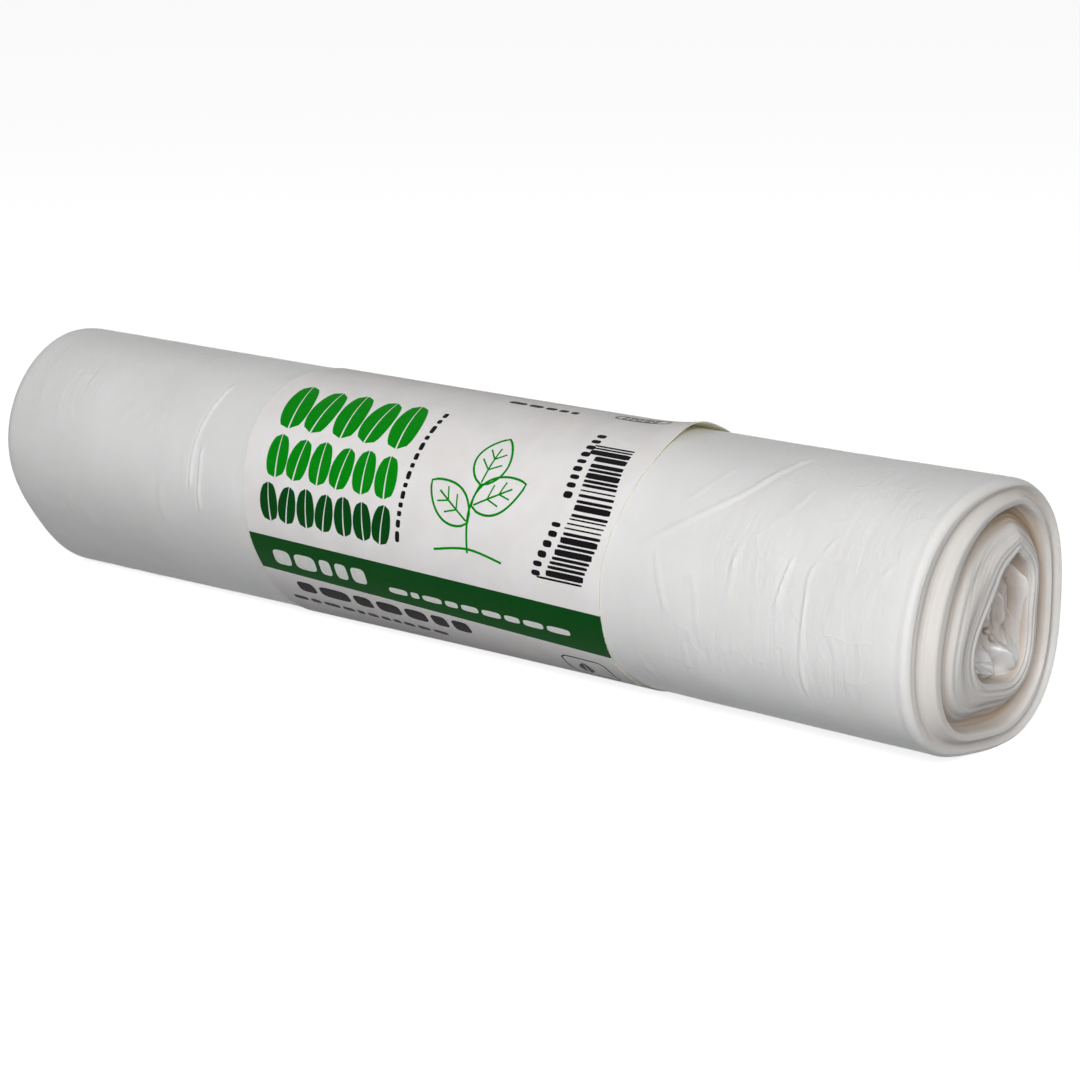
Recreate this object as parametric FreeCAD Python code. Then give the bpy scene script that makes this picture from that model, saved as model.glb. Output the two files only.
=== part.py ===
"""Bin bag roll: folded film wound up with no core, and a strip of paper glued round it.

X runs along the roll, with the near end at +X. Y runs to the back, and Z runs up from
the surface that the roll lies on. An angle round the roll starts at the top and grows
towards the front, which is -Y. All sizes are millimetres and all angles are degrees.
"""
import FreeCAD
import Part
import os
from dataclasses import dataclass
from math import cos, degrees, exp, radians, sin

# The film roll as a whole
roll_length = 250.0        # over the turns that stand out furthest at each end
roll_radius = 27.9         # mean radius of the wound film
settle = 0.8               # depth by which its own weight presses the underside flat

# The paper band
band_start = -46.5         # its edge towards the far end
band_width = 99.5
paper_thickness = 0.2
wrap_clearance = 0.1       # between the film and the paper
seam_angle = -60.0         # where the inner layer of the glued overlap starts
seam_overlap = 13.0        # arc that the two layers share
seam_ramp = 5.0            # arc over which the paper climbs onto its own start
glue_gap = 0.1             # between the two layers of the overlap
lip_lift = 2.4             # how far the near edge stands off the film at its highest
lip_reach = 16.0           # how far along the roll the near edge lifts
lip_angle = -3.0
lip_spread = 19.0

floor_place = 1.3          # where the hollow's wall has rounded off into its floor

# Points round each outline, and stretches along the roll and the paper
film_points = 24
paper_points = 12
far_stretches = 4
middle_stretches = 4
near_stretches = 4
paper_stretches = 6
lip_stretches = 3


@dataclass(frozen=True)
class Ridge:
    """A group of turns that stands proud of the groove on each side of it.

    Its place and half width are shares of the way from the rim, 0, to the hollow, 1.
    """
    place: float
    half_width: float
    height: float
    parts: int               # rows from its crest down to each groove


@dataclass(frozen=True)
class RollEnd:
    """One end of the roll, where groups of turns have slipped in and out along the axis."""
    side: int                # +1 for the near end and -1 for the far end
    swell: float             # how much thicker the roll is at this end than on the whole
    section_waves: tuple     # (waves round the section, height, angle of a crest)
    rim_depth: float         # how far along the roll the outermost turns round off
    rim_tilt: float          # how far in the outermost turns lie at the front, and out at the back
    inner_tilt: float        # how far out the turns inside them lie at the front
    rim_rows: int
    rim: Ridge               # the outermost turns
    outer_ridges: tuple
    groove_depth: float      # from the rim's crest down to the first groove
    recess_ridges: tuple
    recess_depth: float
    recess_wave: float       # how much deeper the recess is above and below than at its sides
    hump_ridges: tuple
    hump_groove: float       # depth of the groove on the hump, from the rim's crest
    hollow_radius: float
    hollow_waves: tuple
    hollow_back: float       # the hollow's middle, measured from the roll's own
    hollow_up: float
    hollow_depth: float
    inner_step: float        # the step that the film's inner end makes in the hollow's wall
    inner_end_angle: float
    inner_end_arc: float     # angle over which that step falls away

    def rise(self):
        """How far the innermost turns stand out past the rim."""
        return max(ridge.height for ridge in self.hump_ridges) - self.hump_groove + self.inner_tilt

    def hollow_lip(self):
        """Depth of the hollow's mouth: halfway down the ridge round it."""
        return self.hump_groove - self.hump_ridges[-1].height / 2.0


near_end = RollEnd(
    side=1,
    swell=0.3,
    section_waves=((2, 0.70, 89.0), (3, 0.91, -20.0), (4, 0.89, 40.0)),
    rim_depth=3.0,
    rim_rows=3,
    rim=Ridge(place=0.08, half_width=0.09, height=0.8, parts=2),
    rim_tilt=0.9,
    inner_tilt=0.95,
    outer_ridges=(Ridge(place=0.27, half_width=0.10, height=1.8, parts=2),),
    groove_depth=0.8,
    recess_ridges=(Ridge(place=0.52, half_width=0.08, height=0.5, parts=1),),
    recess_depth=2.1,
    recess_wave=1.1,
    hump_ridges=(
        Ridge(place=0.80, half_width=0.07, height=0.8, parts=2),
        Ridge(place=0.935, half_width=0.065, height=1.1, parts=2),
    ),
    hump_groove=-0.3,
    hollow_radius=12.3,
    hollow_waves=((2, 0.8, -17.0), (3, 0.93, -18.0), (4, 0.57, 38.0)),
    hollow_back=3.5,
    hollow_up=-0.6,
    hollow_depth=17.0,
    inner_step=2.4,
    inner_end_angle=-18.0,
    inner_end_arc=45.0,
)
far_end = RollEnd(
    side=-1,
    swell=-0.3,
    section_waves=((2, 1.45, 39.0), (3, 0.94, 44.0), (4, 0.68, 0.0)),
    rim_depth=3.0,
    rim_rows=2,
    rim=Ridge(place=0.10, half_width=0.10, height=0.7, parts=1),
    rim_tilt=0.0,
    inner_tilt=0.5,
    outer_ridges=(),
    groove_depth=0.7,
    recess_ridges=(Ridge(place=0.48, half_width=0.12, height=0.9, parts=1),),
    recess_depth=2.6,
    recess_wave=0.6,
    hump_ridges=(Ridge(place=0.86, half_width=0.13, height=1.6, parts=1),),
    hump_groove=2.1,
    hollow_radius=10.5,
    hollow_waves=((2, 1.0, 25.0), (3, 0.6, 70.0)),
    hollow_back=-1.0,
    hollow_up=0.5,
    hollow_depth=14.0,
    inner_step=1.8,
    inner_end_angle=-25.0,
    inner_end_arc=45.0,
)

# Worked out from the sizes above
half_length = roll_length / 2.0
band_end = band_start + band_width
film_lift = paper_thickness + wrap_clearance


def waves(terms, angle):
    """The sum of a few waves round a closed outline."""
    return sum(height * cos(radians(count * (angle - crest))) for count, height, crest in terms)


def near_share(x):
    """0 at the far end of the roll and 1 at the near end."""
    return 0.5 + x / roll_length


def section_radius(x, angle):
    """Radius of the film: each end has waves of its own, and they blend along the roll."""
    near = near_end.swell + waves(near_end.section_waves, angle)
    far = far_end.swell + waves(far_end.section_waves, angle)
    return roll_radius + near_share(x) * near + (1.0 - near_share(x)) * far


def reach(x, direction):
    """How far the section stands from the roll's middle, towards an angle."""
    return max(section_radius(x, a) * cos(radians(a - direction)) for a in range(360))


# The roll rests along its whole underside, and stands midway between front and back
near_drop = reach(half_length, 180.0) - settle
far_drop = reach(-half_length, 180.0) - settle
front_reach = max(reach(half_length, 90.0), reach(-half_length, 90.0))
back_reach = max(reach(half_length, -90.0), reach(-half_length, -90.0))
middle_back = (front_reach - back_reach) / 2.0


def middle_up(x):
    """Height of the section's middle above the surface that the roll lies on."""
    return near_share(x) * near_drop + (1.0 - near_share(x)) * far_drop


def around(x, radius, angle, back=0.0, up=0.0):
    """A point round the roll's middle, or round a middle that lies off it."""
    y = middle_back + back - radius * sin(radians(angle))
    z = middle_up(x) + up + radius * cos(radians(angle))
    return FreeCAD.Vector(x, y, z)


def share(value, start, end):
    """How far a value has come from a start to an end, from 0 to 1."""
    return min(max((value - start) / (end - start), 0.0), 1.0)


def bell(place, middle, half_width):
    """A rounded rise: 1 at its middle and 0 from its half width on."""
    return 0.5 + 0.5 * cos(radians(180.0 * share(abs(place - middle), 0.0, half_width)))


def ridge_rows(ridge, groove):
    """Rows over one ridge, from the groove before it up to just short of the next groove."""
    count = 2 * ridge.parts
    rows = []
    for i in range(count):
        place = ridge.place + ridge.half_width * (i / ridge.parts - 1.0)
        rows.append((place, groove - ridge.height * bell(place, ridge.place, ridge.half_width)))
    return rows


def last_groove(ridges, groove):
    """The row at the foot of the last of some ridges."""
    return (ridges[-1].place + ridges[-1].half_width, groove)


def rim_profile(end):
    """Rows over the rim: a quarter of an ellipse from the wall, then down to the groove."""
    rows = []
    for i in range(end.rim_rows):
        slope = radians(90.0 * i / end.rim_rows)
        rows.append((end.rim.place * (1.0 - cos(slope)), end.rim_depth * (1.0 - sin(slope))))
    over = [row for row in ridge_rows(end.rim, end.groove_depth) if row[0] >= end.rim.place]
    return rows + over


def hollow_profile(end):
    """Rows down the hollow's wall and over its floor, in to a small flat middle."""
    floor_depth = end.hollow_depth
    return [
        (1.0, end.hollow_lip()),
        (1.04, 0.35 * floor_depth),
        (1.10, 0.85 * floor_depth),
        (floor_place, floor_depth),
        (1.85, 0.9 * floor_depth),
    ]


def end_profile(end):
    """Rows from the wall, over the end and into the hollow: (place, depth past the rim's crest)."""
    rows = rim_profile(end)
    outer = (end.rim,) + end.outer_ridges
    for ridge in end.outer_ridges:
        rows += ridge_rows(ridge, end.groove_depth)
    rows.append(last_groove(outer, end.groove_depth))
    for ridge in end.recess_ridges:
        rows += ridge_rows(ridge, end.recess_depth)
    rows.append(last_groove(end.recess_ridges, end.recess_depth))
    for ridge in end.hump_ridges:
        rows += ridge_rows(ridge, end.hump_groove)
    return rows + hollow_profile(end)


def hollow_mouth(end, x, angle):
    """A point on the mouth of the hollow, with the step of the film's inner end."""
    past = (angle - end.inner_end_angle) % 360.0
    falling = 360.0 - end.inner_end_arc
    risen = past / falling if past < falling else (360.0 - past) / end.inner_end_arc
    step = end.inner_step * (risen - 0.5)
    radius = end.hollow_radius + waves(end.hollow_waves, angle) + step
    return around(x, radius, angle, end.hollow_back, end.hollow_up)


def uneven(end, place, angle):
    """How much deeper a point on an end lies than its row: the turns tilt and the recess sags."""
    groove = end.rim.place + end.rim.half_width
    inside = share(place, end.rim.place, 2.0 * groove - end.rim.place)
    tilt = (1.0 - inside) * end.rim_tilt - inside * end.inner_tilt
    tilt *= share(place, 0.0, end.rim.place) * (1.0 - share(place, 1.0, floor_place))
    middle = end.recess_ridges[0].place
    sag = end.recess_wave * bell(place, middle, middle - groove)
    return tilt * sin(radians(angle)) + sag * cos(radians(2.0 * angle))


def end_point(end, row, angle):
    """One point on an end: between the wall and the hollow, or inside the hollow."""
    place, depth = row
    x = end.side * (half_length - end.rise() - depth - uneven(end, place, angle))
    mouth = hollow_mouth(end, x, angle)
    if place <= 1.0:
        wall = around(x, section_radius(x, angle), angle)
        return wall + (mouth - wall) * place
    middle = around(x, 0.0, 0.0, end.hollow_back, end.hollow_up)
    return middle + (mouth - middle) * (2.0 - place)


def curve(points, angles, closed=False):
    """One smooth edge through points, with its parameter running on the angle."""
    line = Part.BSplineCurve()
    line.interpolate(Points=points, Parameters=angles, PeriodicFlag=closed)
    return line.toShape()


def strip(before, after):
    """The face that runs straight from one edge to another, as a true plane where it is flat."""
    face = Part.makeRuledSurface(before, after)
    straight = all(isinstance(edge.Curve, Part.Line) for edge in (before, after))
    if not straight or not face.Surface.isPlanar():
        return face
    corners = [vertex.Point for vertex in face.OuterWire.OrderedVertexes]
    return Part.Face(Part.makePolygon(corners + corners[:1]))


def ruled_solid(sections):
    """A solid whose faces run straight from each section's edges to the next section's."""
    faces = []
    for before, after in zip(sections, sections[1:]):
        faces += [strip(a, b) for a, b in zip(before, after)]
    for section in (sections[0], sections[-1]):
        faces.append(Part.Face(Part.Wire(section)))
    shell = Part.makeShell(faces)
    shell.sewShape()
    solid = Part.makeSolid(shell)
    if solid.Volume < 0.0:
        solid.reverse()
    return solid


def wall_rings(far_ring, near_ring):
    """Rings along the wall, with one just outside each edge of the paper."""
    far_x, near_x = far_ring[0].x, near_ring[0].x
    stops = (far_x, band_start - wrap_clearance, band_end + wrap_clearance, near_x)
    places = []
    for start, end, count in zip(stops, stops[1:], (far_stretches, middle_stretches, near_stretches)):
        places += [start + (end - start) * i / count for i in range(count)]
    ways = [share(x, far_x, near_x) for x in places[1:]]
    return [[a + (b - a) * way for a, b in zip(far_ring, near_ring)] for way in ways]


def below(height, start, end):
    """Everything under a height, along a stretch of the roll."""
    size = 4.0 * roll_radius
    corner = FreeCAD.Vector(start, -size / 2.0, height - size)
    return Part.makeBox(end - start, size, size, corner)


def film_roll():
    """The wound film: one skin from hollow to hollow, pressed flat where it rests."""
    angles = [360.0 * i / film_points for i in range(film_points)]
    far_rings = [[end_point(far_end, row, a) for a in angles] for row in end_profile(far_end)]
    near_rings = [[end_point(near_end, row, a) for a in angles] for row in end_profile(near_end)]
    rings = far_rings[::-1] + wall_rings(far_rings[0], near_rings[0]) + near_rings
    roll = ruled_solid([[curve(ring, angles + [360.0], closed=True)] for ring in rings])
    roll = roll.cut(below(0.0, -roll_length, roll_length))
    under_band = below(film_lift, band_start - wrap_clearance, band_end + wrap_clearance)
    return roll.cut(under_band).Solids[0]


def arc_degrees(length):
    """The angle that an arc of some length takes on the roll."""
    return degrees(length / roll_radius)


def paper_lift(x, travel):
    """How far the paper's inner face stands off the film, at an angle past its start.

    It climbs onto its own start where it laps over it, and it lifts at the near edge.
    """
    climbed = share(travel, 360.0 - arc_degrees(seam_ramp), 360.0)
    lapped = (paper_thickness + glue_gap) * climbed * climbed * (3.0 - 2.0 * climbed)
    angle = (seam_angle + travel + 180.0) % 360.0 - 180.0
    lifted = share(x, band_end - lip_reach, band_end)
    lip = lip_lift * lifted ** 2 * exp(-((angle - lip_angle) / lip_spread) ** 2)
    return wrap_clearance + lapped + lip


def paper_point(x, travel, out):
    """A point on the paper: on its inner face, or out by its thickness."""
    angle = seam_angle + travel
    return around(x, section_radius(x, angle) + paper_lift(x, travel) + out, angle)


def flat_corner(x, out, side):
    """Travel at which a face of the paper meets its flat underside, on one side of it."""
    height = paper_thickness - out
    bottom = 180.0 - seam_angle
    inside, outside = 0.0, 60.0
    for _ in range(50):
        middle = (inside + outside) / 2.0
        if paper_point(x, bottom + side * middle, out).z < height:
            inside = middle
        else:
            outside = middle
    return bottom + side * inside


def paper_face(x, out):
    """One face of the paper as edges: round to the underside, flat, and round to its end."""
    last = 360.0 + arc_degrees(seam_overlap)
    corners = [flat_corner(x, out, side) for side in (-1, 1)]
    edges = []
    for start, end in ((0.0, corners[0]), (corners[1], last)):
        travels = [start + (end - start) * i / paper_points for i in range(paper_points + 1)]
        edges.append(curve([paper_point(x, t, out) for t in travels], travels))
    ends = [paper_point(x, corner, out) for corner in corners]
    for point in ends:
        point.z = paper_thickness - out
    return [edges[0], Part.makeLine(*ends), edges[1]]


def paper_section(x):
    """The paper's closed outline across the roll."""
    outer = paper_face(x, paper_thickness)
    inner = paper_face(x, 0.0)
    start = Part.makeLine(inner[0].firstVertex().Point, outer[0].firstVertex().Point)
    end = Part.makeLine(outer[2].lastVertex().Point, inner[2].lastVertex().Point)
    return outer + [end] + inner[::-1] + [start]


def paper_band():
    """The strip of paper: once round the film, lapped over its own start and glued."""
    snug = band_width - lip_reach
    places = [band_start + snug * i / paper_stretches for i in range(paper_stretches + 1)]
    places += [band_end - lip_reach * i / lip_stretches for i in reversed(range(lip_stretches))]
    return ruled_solid([paper_section(x) for x in places])


def build():
    """Writes one solid for each piece."""
    os.makedirs("parts", exist_ok=True)
    for name, make in (("film_roll", film_roll), ("paper_band", paper_band)):
        shape = make()
        shape.exportStep("parts/" + name + ".step")
        print(name, shape.ShapeType, len(shape.Solids), shape.isValid(), round(shape.Volume))


build()
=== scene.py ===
"""Looks of the bin bag roll: a coreless roll of milky film with a printed paper band.

The roll lies on a pale floor. X runs along it, with the near end at +X, Y runs to the back
and Z up. An angle round the roll starts at the top and grows towards the front, which is -Y.
Sizes in the classes are millimetres and degrees, and meshes are written in metres.
"""

import logging
import random
from collections.abc import Sequence
from dataclasses import dataclass, field
from enum import Enum
from functools import cached_property
from math import ceil, cos, degrees, exp, hypot, pi, radians, sin

import bmesh
import bpy
from mathutils import Matrix, Vector, noise


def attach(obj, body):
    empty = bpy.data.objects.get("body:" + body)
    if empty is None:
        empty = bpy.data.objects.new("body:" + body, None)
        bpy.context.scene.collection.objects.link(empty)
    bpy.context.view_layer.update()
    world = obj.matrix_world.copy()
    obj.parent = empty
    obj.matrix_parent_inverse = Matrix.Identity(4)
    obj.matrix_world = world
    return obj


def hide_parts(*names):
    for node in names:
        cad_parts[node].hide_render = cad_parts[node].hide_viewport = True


logging.basicConfig(level=logging.INFO, format="%(message)s")
log = logging.getLogger("bin_bag_roll")

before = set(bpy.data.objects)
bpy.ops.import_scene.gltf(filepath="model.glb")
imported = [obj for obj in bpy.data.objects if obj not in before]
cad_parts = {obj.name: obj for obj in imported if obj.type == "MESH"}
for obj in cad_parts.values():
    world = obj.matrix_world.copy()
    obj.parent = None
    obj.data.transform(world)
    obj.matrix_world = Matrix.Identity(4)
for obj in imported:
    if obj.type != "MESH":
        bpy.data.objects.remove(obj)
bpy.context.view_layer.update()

MM = 0.001
FLOOR_PLACE = 1.3            # where a hollow's wall has rounded off into its floor
SHARP = radians(50.0)        # edges that turn by more than this stay crisp
FLAP_SPAN = (-6.0, 44.0, 49.0, 124.0)   # degrees past the film's inner end: rise, then fall
HUMP_SPREAD_AT = (0.62, 0.26)           # where the hump spreads, as a bell's middle and half width
# Painted shade: the next bell marks where the recess is tinted darker
RECESS_SHADE_AT = (0.53, 0.26)                # where the recess looks dark, in the same way
BLOCK_POINTS = 28            # points round a printed block
SMOOTHSTEP = {"interpolation_type": "SMOOTHSTEP"}
FILM_NODE, BAND_NODE = "film_roll", "paper_band"

Point = tuple[float, float]
Waves = tuple[tuple[int, float, float], ...]
Fold = tuple[tuple[Point, ...], float, float]
Source = bpy.types.NodeSocket | bpy.types.Node


def clamp(value: float, low: float = 0.0, high: float = 1.0) -> float:
    """Keeps a value between two others."""
    return max(low, min(high, value))


def smooth(share: float) -> float:
    """Eases a share from 0 to 1, level at both ends."""
    share = clamp(share)
    return share * share * (3.0 - 2.0 * share)


def bell(place: float, middle: float, half_width: float) -> float:
    """A rounded rise: 1 at its middle and 0 from its half width on."""
    share = min(abs(place - middle) / half_width, 1.0)
    return 0.5 + 0.5 * cos(pi * share)


def mixed(a: float, b: float, share: float) -> float:
    """The value a share of the way from a to b."""
    return a + (b - a) * share


def waves(terms: Waves, angle: float) -> float:
    """The sum of a few waves round a closed outline: (waves, height, angle of a crest)."""
    return sum(height * cos(radians(count * (angle - crest))) for count, height, crest in terms)


def table_value(table: Sequence[Point], angle: float) -> float:
    """Reads a smooth closed curve given as (angle, value), with angles that grow.

    Args:
        table: the known points, over less than a full turn.
        angle: where to read it, in degrees.

    Returns:
        The value there, eased between the two nearest points.
    """
    first = table[0][0]
    angle = first + (angle - first) % 360.0
    points = list(table) + [(first + 360.0, table[0][1])]
    for (a, before), (b, after) in zip(points, points[1:]):
        if angle <= b:
            return mixed(before, after, smooth((angle - a) / (b - a)))
    return table[0][1]


def through(points: Sequence[Point], parts: int = 6) -> list[Point]:
    """A smooth line through points.

    Args:
        points: two or more points on a plane.
        parts: pieces between each two of them.

    Returns:
        The points of the smooth line, the first and last ones kept.
    """
    padded = [points[0], *points, points[-1]]
    line = []
    for a, b, c, d in zip(padded, padded[1:], padded[2:], padded[3:]):
        for i in range(parts):
            t = i / parts
            line.append(tuple(
                0.5 * (2 * q + (r - p) * t + (2 * p - 5 * q + 4 * r - s) * t * t
                       + (3 * q - p - 3 * r + s) * t ** 3)
                for p, q, r, s in zip(a, b, c, d)
            ))
    return line + [tuple(points[-1])]


def nearest(line: Sequence[Point], spot: Point) -> tuple[float, float, float]:
    """Finds where a line passes closest to a spot.

    Args:
        line: the points of the line.
        spot: the place to measure from.

    Returns:
        The gap, the side of the line as 1 or -1, and the share of the way along it.
    """
    best, side, along = 1e9, 1.0, 0.0
    for i, ((ax, ay), (bx, by)) in enumerate(zip(line, line[1:])):
        dx, dy = bx - ax, by - ay
        x, y = spot[0] - ax, spot[1] - ay
        t = clamp((x * dx + y * dy) / (dx * dx + dy * dy))
        gap = hypot(x - t * dx, y - t * dy)
        if gap < best:
            best, along = gap, (i + t) / (len(line) - 1)
            side = 1.0 if dx * y - dy * x > 0.0 else -1.0
    return best, side, along


@dataclass(frozen=True)
class Ridge:
    """A group of turns that stands proud, by shares of the way from the rim to the hollow."""

    place: float
    half_width: float
    height: float
    shelf: float = 0.0       # how far its crest runs on level before a sharp inner edge

    def rise(self, place: float) -> float:
        """How far the group stands out.

        Args:
            place: share of the way in.

        Returns:
            The height in millimetres.
        """
        past = place - self.place
        if past > 0.0 and self.shelf > 0.0:
            return self.height * (1.0 - smooth((past - self.shelf) / 0.04))
        return self.height * bell(place, self.place, self.half_width)


@dataclass(frozen=True)
class RollEnd:
    """One end of the roll, where groups of turns have slipped in and out along the axis."""

    side: int
    swell: float             # how much thicker the roll is at this end than on the whole
    section_waves: Waves
    rim_depth: float
    rim_tilt: float          # how far in the outermost turns lie at the front
    inner_tilt: float        # how far out the turns inside them lie at the front
    rim: Ridge
    outer_ridges: tuple[Ridge, ...]
    groove_depth: float
    recess_ridges: tuple[Ridge, ...]
    recess_depth: float
    recess_wave: float       # how much deeper the recess is above and below than at its sides
    hump_ridges: tuple[Ridge, ...]
    hump_groove: float
    hollow_radius: float
    hollow_waves: Waves
    hollow_back: float
    hollow_up: float
    hollow_depth: float
    inner_step: float
    inner_end_angle: float
    inner_end_arc: float
    flap: float              # how far the film's inner end sags into the mouth
    undercut: float          # how far the wall steps back under that flap
    long_slope: float        # how early the recess starts to rise to the hump
    front_spread: float      # how much wider the hump is at the front
    rim_rows: int
    row_pitch: float         # share of the way in between two rows of the mesh

    def rise(self) -> float:
        """How far the innermost turns stand out past the rim."""
        return max(ridge.height for ridge in self.hump_ridges) - self.hump_groove + self.inner_tilt

    def hollow_lip(self) -> float:
        """Depth of the hollow's mouth: halfway down the ridge round it."""
        return self.hump_groove - self.hump_ridges[-1].height / 2.0

    def uneven(self, place: float, angle: float) -> float:
        """How much deeper a point lies than its row: the turns tilt and the recess sags.

        Args:
            place: share of the way in.
            angle: place round the roll.

        Returns:
            The change of depth in millimetres.
        """
        groove = self.rim.place + self.rim.half_width
        inside = clamp((place - self.rim.place) / (2.0 * self.rim.half_width))
        tilt = (1.0 - inside) * self.rim_tilt - inside * self.inner_tilt
        tilt *= clamp(place / self.rim.place) * (1.0 - clamp((place - 1.0) / (FLOOR_PLACE - 1.0)))
        middle = self.recess_ridges[0].place
        sag = self.recess_wave * bell(place, middle, middle - groove)
        return tilt * sin(radians(angle)) + sag * cos(radians(2.0 * angle))

    def flap_share(self, angle: float) -> float:
        """1 where the film's inner end hangs furthest into the mouth, and 0 away from it."""
        rise, full, fall, end = (edge - FLAP_SPAN[0] for edge in FLAP_SPAN)
        past = (angle - self.inner_end_angle - FLAP_SPAN[0]) % 360.0
        return clamp((past - rise) / (full - rise)) * smooth((end - past) / (end - fall))

    def profile_place(self, place: float, angle: float) -> float:
        """Where on the profile a place lies: at the front the hump spreads towards the rim."""
        front = max(sin(radians(angle)), 0.0) ** 1.5
        return place + self.front_spread * front * bell(place, *HUMP_SPREAD_AT)

    def depth(self, place: float) -> float:
        """Depth of the end face below the rim's crest, at a share of the way in.

        Args:
            place: from the rim's crest up to 1 at the hollow.

        Returns:
            The depth in millimetres, negative where turns stand past the rim.
        """
        outer = (self.rim, *self.outer_ridges)
        recess_start = outer[-1].place + outer[-1].half_width - outer[-1].shelf / 2.0
        recess = [ridge.place - ridge.half_width for ridge in self.recess_ridges]
        recess_end = self.recess_ridges[-1].place - self.long_slope
        hump_start = self.hump_ridges[0].place - self.hump_ridges[0].half_width
        level = mixed(self.groove_depth, self.recess_depth,
                      smooth((place - recess_start) / (recess[0] - recess_start)))
        level = mixed(level, self.hump_groove,
                      smooth((place - recess_end) / (hump_start - recess_end)))
        ridges = (*outer, *self.recess_ridges, *self.hump_ridges)
        depth = level - sum(ridge.rise(place) for ridge in ridges)
        return min(depth, self.hollow_lip()) if place > ridges[-1].place else depth

    def rows(self) -> list[Point]:
        """Rows of the mesh from the wall, over the end and down the hollow.

        Returns:
            The place and the depth of each row.
        """
        rows = []
        for i in range(self.rim_rows):
            slope = radians(90.0 * i / self.rim_rows)
            rows.append((self.rim.place * (1.0 - cos(slope)), self.rim_depth * (1.0 - sin(slope))))
        count = ceil((1.0 - self.rim.place) / self.row_pitch)
        rows += [(p := mixed(self.rim.place, 1.0, i / count), self.depth(p)) for i in range(count)]
        floor = self.hollow_depth
        wall = ((1.0, self.hollow_lip()), (1.04, 0.35 * floor), (1.10, 0.85 * floor),
                (FLOOR_PLACE, floor), (1.85, 0.9 * floor), (1.98, 0.9 * floor))
        return rows + through(wall, 4)


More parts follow.
